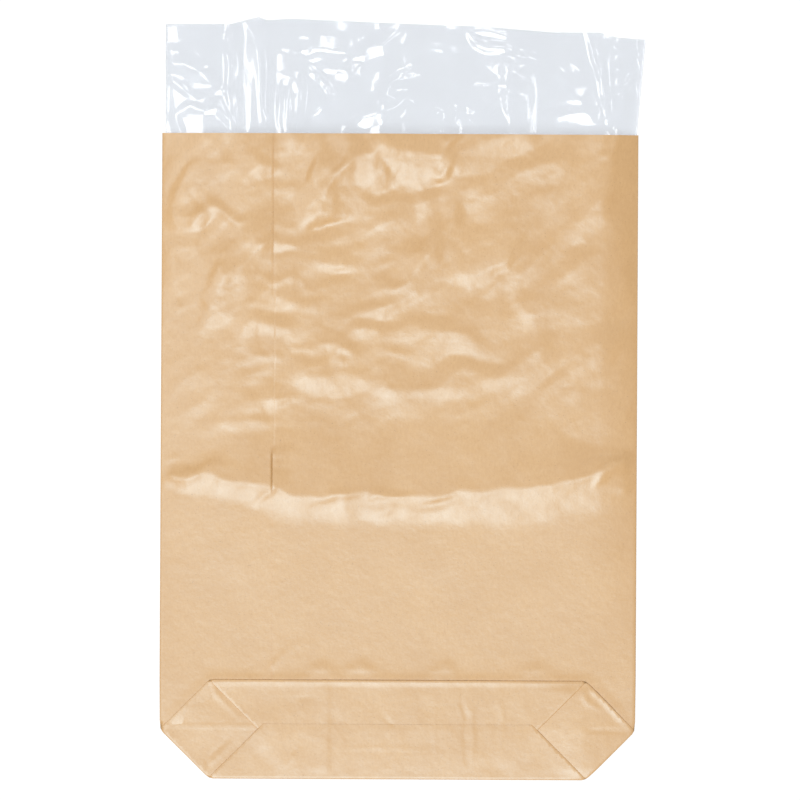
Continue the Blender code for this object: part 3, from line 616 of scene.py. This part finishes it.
def kraft_material():
    """Glazed kraft: warm brown, mottled by its fibres, with a soft sheen and a fine crackle."""
    material = bpy.data.materials.new("kraft_paper")
    material.use_nodes = True
    nodes, links = material.node_tree.nodes, material.node_tree.links
    shader = nodes["Principled BSDF"]
    place = nodes.new("ShaderNodeTexCoord").outputs["Object"]

    def noise(scale, detail, roughness=0.5, stretch=(1, 1, 1)):
        mapping = nodes.new("ShaderNodeMapping")
        mapping.inputs["Scale"].default_value = stretch
        links.new(place, mapping.inputs["Vector"])
        made = nodes.new("ShaderNodeTexNoise")
        made.inputs["Scale"].default_value = scale
        made.inputs["Detail"].default_value = detail
        made.inputs["Roughness"].default_value = roughness
        links.new(mapping.outputs["Vector"], made.inputs["Vector"])
        return made.outputs["Fac"]

    def spread(value, low, high, to_low, to_high):
        made = nodes.new("ShaderNodeMapRange")
        made.inputs["From Min"].default_value = low
        made.inputs["From Max"].default_value = high
        made.inputs["To Min"].default_value = to_low
        made.inputs["To Max"].default_value = to_high
        links.new(value, made.inputs["Value"])
        return made.outputs["Result"]

    def mix(share, first, second):
        made = nodes.new("ShaderNodeMix")
        made.data_type = "RGBA"
        links.new(share, made.inputs["Factor"])
        for socket, value in (("A", first), ("B", second)):
            inputs = [s for s in made.inputs if s.name == socket and s.type == "RGBA"]
            if isinstance(value, tuple):
                inputs[0].default_value = (*value, 1)
            else:
                links.new(value, inputs[0])
        return [s for s in made.outputs if s.type == "RGBA"][0]

    def bump(height, distance, below=None):
        made = nodes.new("ShaderNodeBump")
        made.inputs["Distance"].default_value = distance
        links.new(height, made.inputs["Height"])
        if below:
            links.new(below.outputs["Normal"], made.inputs["Normal"])
        return made

    kraft, pale_kraft = (0.70, 0.410, 0.176), (0.74, 0.444, 0.197)
    fibre_brown, speck_brown = (0.62, 0.345, 0.139), (0.42, 0.24, 0.11)
    cloudy = spread(noise(18, 3), 0.3, 0.7, 0, 1)
    fibres = spread(noise(420, 3, 0.6, (1, 0.45, 1)), 0.35, 0.65, 0, 0.35)
    specks = spread(noise(700, 1), 0.70, 0.78, 0, 0.6)
    colour = mix(fibres, mix(cloudy, kraft, pale_kraft), fibre_brown)
    colour = mix(specks, colour, speck_brown)
    links.new(colour, shader.inputs["Base Color"])
    links.new(spread(noise(60, 3), 0.3, 0.7, 0.35, 0.42), shader.inputs["Roughness"])
    shader.inputs["Specular IOR Level"].default_value = 1.0
    shader.inputs["Specular Tint"].default_value = (0.60, 0.87, 1.0, 1)

    # the upper half, above the fold across the middle, has been handled more
    axes = nodes.new("ShaderNodeSeparateXYZ")
    links.new(place, axes.inputs["Vector"])
    handled = spread(axes.outputs["Y"], -0.09, 0.03, 0.04, 0.15)
    creased = noise(75, 2)
    creased.node.noise_type = "RIDGED_MULTIFRACTAL"
    creases = bump(creased, 0.002)
    links.new(handled, creases.inputs["Strength"])
    crackle = bump(noise(90, 4, 0.55), 0.0008, creases)
    crackle.inputs["Strength"].default_value = 0.35
    tooth = bump(noise(900, 2), 0.00012, crackle)
    tooth.inputs["Strength"].default_value = 0.25
    links.new(tooth.outputs["Normal"], shader.inputs["Normal"])
    return material


def seam_layer(layer, x, y):
    """The layer of a place: below the seam's join the two sides of the front are one sheet."""
    return "front" if layer.startswith("front") and y < SEAM_JOIN_Y + MERGE / 10 else layer


def build_sack():
    """The paper, from its back wall to the flaps of its bottom."""
    half = HALF_BOTTOM
    level = {name: FRONT_Z + plies * PLY for name, plies in PLIES_UP.items()}
    knots = {}
    for side in (-1, 1):
        knots[on_bottom(side, 0, 0)] = (BACK_Z + level["corner"]) / 2
        place = on_bottom(side, half, half)
        sprung = bottom_shape("tuck", np.array([place[0]]), np.array([place[1]])).item()
        knots[place] = (level["tuck"] + level["upper_flap"]) / 2 + BOTTOM_LIFT + sprung
        knots[on_bottom(side, half, -half)] = (BACK_Z + level["lower_flap"] - BOTTOM_LIFT) / 2
    sheet = Sheet(paper_height, knots, seam_layer)

    left_fold, seam = (-0.247, FOLD_START), (SEAM_EDGE_X, SEAM_STEP)
    left_xs = steps(-HALF_WIDTH, left_fold, (-0.139, FINE_STEP), seam)
    lap_xs = steps(SEAM_EDGE_X, (SEAM_END_X, 0.004))
    right_xs = steps(SEAM_EDGE_X, (-0.129, SEAM_STEP), (0.247, FINE_STEP), (HALF_WIDTH, FOLD_START))
    low_ys = steps(BOTTOM_Y, (SEAM_JOIN_Y, COARSE_STEP))
    hinge, handled = (BOTTOM_Y + half, COARSE_STEP), (-0.130, MIDDLE_STEP)
    high_ys = steps(SEAM_JOIN_Y, hinge, handled, (MOUTH_Y, FINE_STEP))
    sheet.grid("front", left_xs + right_xs[1:], low_ys)
    sheet.grid("front_left", left_xs + lap_xs[1:], high_ys)
    sheet.grid("front_right", right_xs, high_ys)

    middle = [(x, BOTTOM_Y) for x in left_xs + right_xs[1:]]
    upper_hinge = run(on_bottom(-1, half, half), on_bottom(1, half, half), FOLD_STEP)
    lower_hinge = run(on_bottom(-1, half, -half), on_bottom(1, half, -half), FOLD_STEP)
    lines = {}
    for side in (-1, 1):
        lines[side] = {"side": [(side * HALF_WIDTH, y) for y in low_ys + high_ys[1:]]}
        for name, up, end in (("upper", 1, UPPER_END), ("lower", -1, LOWER_END)):
            tip, corner = on_bottom(side, 0, 0), on_bottom(side, half, up * half)
            hem_end = on_bottom(side, end, up * half)
            slant_end = on_bottom(side, end, up * (2 * half - end))
            lines[side][name] = run(tip, corner, FOLD_STEP)
            lines[side][name + "_hem"] = run(corner, hem_end, HEM_STEP)
            lines[side][name + "_slant"] = run(corner, slant_end, FOLD_STEP)
    left, right = lines[-1], lines[1]
    back_mouth = run((-HALF_WIDTH, MOUTH_Y), (HALF_WIDTH, MOUTH_Y), 0.02)
    back_end = [left["lower"], lower_hinge, right["lower"][::-1]]
    back = loop(*back_end, right["side"], back_mouth[::-1], left["side"][::-1])
    sheet.panel("back", back, BACK_STEP)
    tuck = loop(middle, right["upper"], upper_hinge[::-1], left["upper"][::-1])
    sheet.panel("tuck", tuck, TUCK_STEP)
    edge = run(left["upper_slant"][-1], right["upper_slant"][-1], FOLD_STEP)
    flap = loop(left["upper_slant"], edge, right["upper_slant"][::-1], upper_hinge[::-1])
    sheet.panel("upper_flap", flap, UPPER_FLAP_STEP)
    edge = run(left["lower_slant"][-1], right["lower_slant"][-1], FOLD_STEP)
    flap = loop(lower_hinge, right["lower_slant"], edge[::-1], left["lower_slant"][::-1])
    sheet.panel("lower_flap", flap, FINE_STEP)
    sheet.fold(middle, "front", "tuck", (0, -1))
    sheet.fold(upper_hinge, "tuck", "upper_flap", (0, 1))
    sheet.fold(lower_hinge, "back", "lower_flap", (0, -1))
    sheet.fold(left["side"], "back", "front_left", (-1, 0))
    sheet.fold(right["side"], "back", "front_right", (1, 0))
    for side in (-1, 1):
        build_corner(sheet, side, lines[side])
    return sheet.finish("sack_paper", PAPER_WALL, kraft_material(), 50)


def build_corner(sheet, side, lines):
    """One end of the bottom: the side of the tube squashed flat, and its hems under both flaps."""
    upper_corner = on_bottom(side, UPPER_END, HALF_BOTTOM)
    lower_corner = on_bottom(side, LOWER_END, -HALF_BOTTOM)
    step_in, step_out = on_bottom(side, LOWER_END, 0), on_bottom(side, UPPER_END, 0)
    lower_cut = run(lower_corner, step_in, HEM_STEP)
    upper_cut = run(step_out, upper_corner, HEM_STEP)
    lower_side = [lines["lower"], lines["lower_hem"], lower_cut]
    upper_side = [upper_cut, lines["upper_hem"][::-1], lines["upper"][::-1]]
    sheet.panel("corner", loop(*lower_side, [step_in, step_out], *upper_side), CORNER_STEP)
    for name in ("upper", "lower"):
        cut = run(lines[name + "_hem"][-1], lines[name + "_slant"][-1], HEM_STEP)
        outline = loop(lines[name + "_hem"], cut, lines[name + "_slant"][::-1])
        sheet.panel(name + "_under", outline, HEM_STEP)
    slant = side * DIAGONAL
    sheet.fold(lines["upper"], "tuck", "corner", (slant, DIAGONAL))
    sheet.fold(lines["lower"], "back", "corner", (slant, -DIAGONAL))
    sheet.fold(lines["upper_hem"], "corner", "upper_under", (0, 1))
    sheet.fold(lines["lower_hem"], "corner", "lower_under", (0, -1))
    sheet.fold(lines["upper_slant"], "upper_under", "upper_flap", (slant, -DIAGONAL))
    sheet.fold(lines["lower_slant"], "lower_under", "lower_flap", (slant, DIAGONAL))


sack = build_sack()
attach(sack, "root")
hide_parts("kraft_sack")

# -------------------------------------------------------------------------------------------------
# The film liner
# A tube of clear film, welded across its lower end, loose in the sack. It stands about 120 mm out
# of the mouth, where it keeps the folds and soft crumples that it was packed with.
# -------------------------------------------------------------------------------------------------

FILM_WALL = 0.0001
FILM_LOW_Z = 0.0006
FILM_HIGH_Z = 0.0010
LINER_HALF = 0.247
LINER_END_Y = -0.337
LINER_STANDOUT = 0.121
LINER_FLARE = 0.011
FILM_CALM_BELOW = 0.02
FILM_FRONT_STEP, FILM_BACK_STEP, FILM_INSIDE_STEP = 0.0022, 0.005, 0.02

# Places along the upper end of the film, as (x, distance above the mouth) in millimetres
FILM_TOP = ((-247, 115), (-178, 115.5), (-163, 119.5), (-150, 122.5), (-141, 119.5), (-115, 121),
            (8, 116), (82, 114), (161, 108), (211, 108), (228, 103), (258, 101))

# Folds of the film outside the mouth, given as the creases of the paper are. Distances below the
# mouth are negative here.
FILM_FOLDS = (
    # the stack of upright folds left of the middle
    (0.2, ((-181, -116, 2.0, 12, 5), (-182, -70, 2.6, 14, 5), (-180, -34, 2.0, 12, 5),
           (-178, -2, 0.8, 8, 5))),
    (-0.3, ((-150, -120, 3.0, 9, 14), (-151, -90, 3.6, 8, 14), (-149, -66, 3.4, 7, 12),
            (-147, -30, 2.4, 6, 10), (-144, -2, 1.2, 6, 8))),
    (0.0, ((-158, -62, 0.4, 4, 4), (-157, -34, 1.6, 5, 5), (-157, -2, 1.0, 5, 5))),
    (0.0, ((-127, -54, 0.6, 5, 5), (-127, -26, 1.8, 5, 5), (-127, -2, 1.0, 5, 5))),
    (0.0, ((-119, -52, 0.8, 5, 5), (-119, -24, 2.0, 5, 5), (-119, -2, 1.2, 5, 5))),
    (0.0, ((-124, -60, 1.0, 9, 8), (-112, -58, 2.0, 9, 8), (-106, -44, 2.0, 7, 7),
           (-107, -8, 0.8, 5, 5))),
    # long streaks right of them
    (0.0, ((-110, -98, 0.6, 8, 8), (-98, -90, 2.4, 12, 8), (-70, -88, 2.8, 16, 9),
           (-40, -86, 2.6, 16, 10), (-20, -96, 2.4, 14, 12), (-4, -108, 0.8, 9, 9))),
    (0.0, ((-122, -90, 0.6, 5, 5), (-108, -87, 1.6, 6, 7), (-98, -88, 0.6, 5, 5))),
    (0.0, ((-112, -78, 0.4, 4, 5), (-90, -80, 1.4, 6, 7), (-56, -79, 1.6, 6, 8),
           (-36, -82, 0.5, 5, 6))),
    (0.0, ((-96, -64, 0.4, 6, 6), (-70, -72, 1.4, 8, 9), (-46, -72, 0.5, 6, 6))),
    (-0.2, ((-104, -74, 0.6, 5, 5), (-86, -56, 1.8, 6, 5), (-70, -41, 1.6, 6, 6),
            (-82, -30, 1.0, 5, 5), (-92, -21, 0.3, 4, 4))),
    (0.1, ((-8, -102, 1.0, 14, 14), (-40, -76, 2.8, 20, 20), (-62, -48, 2.4, 20, 14),
           (-90, -20, 0.8, 14, 8))),
    (0.1, ((10, -68, 1.0, 14, 8), (-14, -46, 2.4, 20, 9), (-32, -26, 2.4, 20, 9),
           (-54, -6, 1.0, 10, 6))),
    (0.0, ((-52, -10, 0.6, 5, 8), (-30, -20, 1.8, 8, 12), (-6, -28, 2.0, 9, 14),
           (8, -38, 0.8, 6, 8))),
    (0.0, ((-24, -48, 0.6, 5, 6), (-10, -54, 1.6, 7, 8), (6, -56, 1.4, 7, 8),
           (18, -60, 0.5, 5, 5))),
    (0.1, ((26, -2, 0.8, 6, 6), (38, -22, 1.8, 7, 7), (44, -6, 1.0, 6, 6))),
    (0.1, ((50, -3, 0.8, 6, 6), (58, -24, 1.8, 8, 7), (74, -18, 1.4, 8, 8), (88, -6, 0.5, 6, 6))),
    # the kite and the fork below it
    (0.0, ((69, -108, 0.8, 5, 5), (80, -96, 1.8, 6, 6), (90, -90, 2.0, 7, 6), (106, -92, 2.0, 7, 6),
           (118, -90, 1.4, 6, 6), (112, -104, 1.4, 6, 5), (92, -108, 1.4, 5, 5),
           (72, -109, 0.8, 5, 5))),
    (0.0, ((110, -88, 0.5, 5, 6), (126, -84, 1.8, 7, 8), (144, -80, 0.5, 5, 6))),
    (0.0, ((84, -78, 0.6, 6, 8), (100, -74, 2.0, 8, 12), (112, -74, 2.2, 8, 12),
           (124, -79, 0.8, 6, 8))),
    (0.1, ((110, -76, 1.6, 20, 7), (110, -52, 3.2, 30, 8), (113, -32, 3.2, 30, 7),
           (119, -2, 1.4, 16, 5))),
    (0.0, ((74, -50, 0.4, 5, 6), (88, -50, 1.6, 7, 8), (104, -52, 1.0, 6, 6))),
    (0.1, ((152, -74, 0.8, 12, 16), (172, -60, 2.2, 16, 28), (190, -40, 2.6, 16, 30),
           (202, -24, 1.0, 10, 16))),
    (0.0, ((156, -18, 0.8, 6, 10), (178, -21, 2.4, 9, 16), (200, -23, 1.4, 7, 12))),
    # sharp folds at the right
    (-0.2, ((196, -110, 1.6, 6, 6), (205, -80, 3.2, 7, 7), (213, -50, 3.0, 6, 7),
            (222, -6, 1.2, 5, 5))),
    (-0.2, ((208, -110, 1.2, 5, 5), (211, -80, 2.4, 5, 5), (214, -58, 0.8, 5, 5))),
    (-0.2, ((228, -89, 0.8, 5, 5), (242, -86, 1.6, 6, 6), (257, -82, 0.6, 5, 5))),
    (-0.2, ((241, -104, 0.6, 5, 5), (235, -95, 1.4, 5, 5), (229, -88, 0.6, 5, 5))),
    (-0.2, ((251, -78, 0.8, 5, 5), (243, -60, 2.6, 6, 6), (235, -38, 2.6, 6, 6),
            (230, -2, 1.0, 5, 5))),
    (-0.2, ((256, -64, 0.6, 4, 4), (247, -38, 2.0, 5, 5), (241, -22, 0.6, 4, 4))),
    (-0.2, ((240, -18, 0.4, 4, 4), (252, -26, 1.0, 5, 5))),
    # the left end
    (0.0, ((-250, -74, 1.0, 10, 8), (-228, -72, 2.2, 14, 12), (-212, -64, 2.0, 12, 12),
           (-200, -54, 0.6, 8, 8))),
    (0.0, ((-248, -60, 0.6, 5, 5), (-232, -48, 1.6, 7, 6), (-218, -38, 0.6, 5, 5))),
    (0.0, ((-248, -22, 1.2, 6, 6), (-238, -12, 1.6, 6, 6), (-230, -2, 0.8, 5, 5))),
    (0.3, ((-236, -20, 0.6, 6, 6), (-222, -28, 1.8, 9, 11), (-206, -24, 1.4, 8, 7),
           (-194, -29, 2.0, 9, 12), (-184, -16, 1.6, 7, 7), (-174, -2, 0.8, 6, 6))),
    (0.0, ((-206, -40, 0.4, 6, 6), (-190, -46, 1.6, 8, 8), (-180, -40, 0.4, 6, 6))),
)

# Parts of the film that lie smooth, given in the same way
FILM_CALM = (
    (1.0, ((8, -106, 1, 30, 24), (-30, -56, 1, 26, 22), (-66, -4, 1, 22, 22))),
    (1.0, ((138, -72, 1, 20, 16), (140, -4, 1, 22, 18))),
    (1.0, ((-169, -112, 1, 11, 11), (-169, -6, 1, 11, 11))),
    (1.0, ((-134, -112, 0.8, 9, 9), (-134, -6, 0.8, 9, 9))),
    (1.0, ((-236, -104, 1, 16, 16), (-186, -104, 1, 16, 16))),
    (1.0, ((20, -70, 0.8, 22, 16), (60, -30, 0.6, 16, 16))),
)


def film_height(layer, x, y):
    """Height of the film: the lower ply lies on the back wall, the upper follows the front."""
    up = np.maximum(y - MOUTH_Y, 0)
    out = np.clip(up / LINER_STANDOUT, 0, 1)
    free = ease((y - MOUTH_Y + FILM_CALM_BELOW) / 0.05)
    edge = np.clip((LINER_HALF + LINER_FLARE * out - np.abs(x)) / 0.012, 0, 1)
    mm_x, mm_down = x * 1000, -up * 1000
    bent_x = mm_x + 1.5 * cloud(mm_x / 14, mm_down / 14, 41)
    bent_down = mm_down + 1.5 * cloud(mm_x / 14, mm_down / 14, 42)
    if layer == "film_back":
        upright = cloud(bent_x / 14, bent_down / 30, 43)
        level = cloud(bent_x / 30, bent_down / 12, 44)
        crumple = 0.9 + 0.5 * upright + 0.4 * level
        return FILM_LOW_Z + free * edge * crumple / 1000
    followed = relief(np.clip(x, -HALF_WIDTH, HALF_WIDTH), np.minimum(y, MOUTH_Y))
    height = FILM_HIGH_Z + BOTTOM_LIFT * np.minimum((y - BOTTOM_Y) / HALF_BOTTOM, 1)
    folds = 0.8 * cloud(bent_x / 34, bent_down / 40, 46)
    crumple = 0.9 - 1.8 * np.abs(cloud(bent_x / 30, bent_down / 26, 45))
    calm = 0 * folds
    for shape, points in FILM_CALM:
        calm = np.maximum(calm, crease(bent_x, bent_down, shape, points))
    folds = folds + 0.5 + crumple * (1 - 0.9 * calm)
    for shape, points in FILM_FOLDS:
        folds = folds + crease(bent_x, bent_down, shape, points)
    share = 0.5 + 0.35 * ease((y - MOUTH_Y + 0.03) / 0.03)
    followed = followed * share * (1 - 0.35 * out) * ease(edge)
    return height + followed + free * edge * np.maximum(folds, 0) / 1000


def film_material():
    """Clear polyethylene: see-through, glossy, a little milky."""
    material = bpy.data.materials.new("clear_film")
    material.use_nodes = True
    shader = material.node_tree.nodes["Principled BSDF"]
    shader.inputs["Base Color"].default_value = (0.838, 0.852, 0.874, 1)
    shader.inputs["Roughness"].default_value = 0.12
    shader.inputs["IOR"].default_value = 1.45
    shader.inputs["Transmission Weight"].default_value = 1.0
    return material


def build_liner():
    """The film tube, fine outside the mouth and plain inside the sack."""
    ends = {side: (side * LINER_HALF, LINER_END_Y) for side in (-1, 1)}
    weld_z = (FILM_LOW_Z + FILM_HIGH_Z) / 2
    sheet = Sheet(film_height, {end: weld_z for end in ends.values()})
    crest = [(x / 1000, MOUTH_Y + up / 1000) for x, up in FILM_TOP]
    weld = run(ends[-1], ends[1], 0.025)
    mouth = {side: (side * LINER_HALF, MOUTH_Y - FILM_CALM_BELOW) for side in (-1, 1)}
    tops = {-1: crest[0], 1: crest[-1]}
    side_low = {side: run(ends[side], mouth[side], FILM_INSIDE_STEP) for side in (-1, 1)}
    side_high = {side: run(mouth[side], tops[side], FOLD_STEP) for side in (-1, 1)}
    top = loop(*(run(start, end, 0.004) for start, end in zip(crest, crest[1:]))) + [tops[1]]
    band = run(mouth[-1], mouth[1], 0.008)
    inside = loop(weld, side_low[1], band[::-1], side_low[-1][::-1])
    outside = loop(band, side_high[1], top[::-1], side_high[-1][::-1])
    for layer, spacing in (("film_front", FILM_FRONT_STEP), ("film_back", FILM_BACK_STEP)):
        sheet.panel(layer, inside, FILM_INSIDE_STEP)
        sheet.panel(layer, outside, spacing)
    for side in (-1, 1):
        line = loop(side_low[side], side_high[side]) + [tops[side]]
        sheet.fold(line, "film_back", "film_front", (side, 0), 3)
    sheet.fold(weld, "film_back", "film_front", (0, -1), 3)
    return sheet.finish("sack_liner_film", FILM_WALL, film_material(), 60)


liner = build_liner()
liner.visible_shadow = False
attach(liner, "root")
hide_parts("film_liner")

# -------------------------------------------------------------------------------------------------
# Floor, lights and camera
# A white sheet that glows a little, one large soft light from below the picture, three small ones
# for the glints of the film and an even white surround, seen from straight above.
# -------------------------------------------------------------------------------------------------

scene = bpy.context.scene
scene.view_settings.view_transform = "Standard"

floor_mesh = bpy.data.meshes.new("floor")
far = 3
floor_corners = [(-far, -far, 0), (far, -far, 0), (far, far, 0), (-far, far, 0)]
floor_mesh.from_pydata(floor_corners, [], [(0, 1, 2, 3)])
floor = bpy.data.objects.new("floor", floor_mesh)
scene.collection.objects.link(floor)
floor_paint = bpy.data.materials.new("white_floor")
floor_paint.use_nodes = True
floor_shader = floor_paint.node_tree.nodes["Principled BSDF"]
floor_shader.inputs["Base Color"].default_value = (0.12, 0.12, 0.12, 1)
floor_shader.inputs["Roughness"].default_value = 0.9
floor_shader.inputs["Specular IOR Level"].default_value = 0.0
floor_shader.inputs["Emission Color"].default_value = (1, 1, 1, 1)
floor_shader.inputs["Emission Strength"].default_value = 0.93
floor_mesh.materials.append(floor_paint)
floor.location.z = -0.0005

world = bpy.data.worlds.new("surround")
scene.world = world
world.use_nodes = True
world.node_tree.nodes["Background"].inputs["Color"].default_value = (1, 1, 1, 1)
world.node_tree.nodes["Background"].inputs["Strength"].default_value = 0.40


def soft_light(name, place, size, power):
    """A square area light that faces the middle of the sack."""
    data = bpy.data.lights.new(name, "AREA")
    data.shape = "SQUARE"
    data.size = size
    data.energy = power
    made = bpy.data.objects.new(name, data)
    made.location = place
    made.rotation_euler = (-Vector(place)).to_track_quat("-Z", "Y").to_euler()
    scene.collection.objects.link(made)
    return made


key = soft_light("key", (-1.78, -6.6, 16.1), size=7.5, power=1810)
key.data.color = (0.93, 0.98, 1.0)
soft_light("left", (-3.2, 0.5, 6.2), size=1.8, power=60)
soft_light("right", (2.7, 0.9, 6.4), size=0.8, power=11)
soft_light("back", (0.5, 3.1, 6.3), size=1.1, power=20)

camera_data = bpy.data.cameras.new("camera")
camera_data.lens = 400
camera_data.sensor_width = 36
camera = bpy.data.objects.new("camera", camera_data)
view_width, paper_top = 0.844, 0.006
distance = view_width * camera_data.lens / camera_data.sensor_width
camera.location = (0.001, -0.0011, distance + paper_top)
camera.rotation_euler = (0, 0, math.radians(0.29))
scene.collection.objects.link(camera)
scene.camera = camera
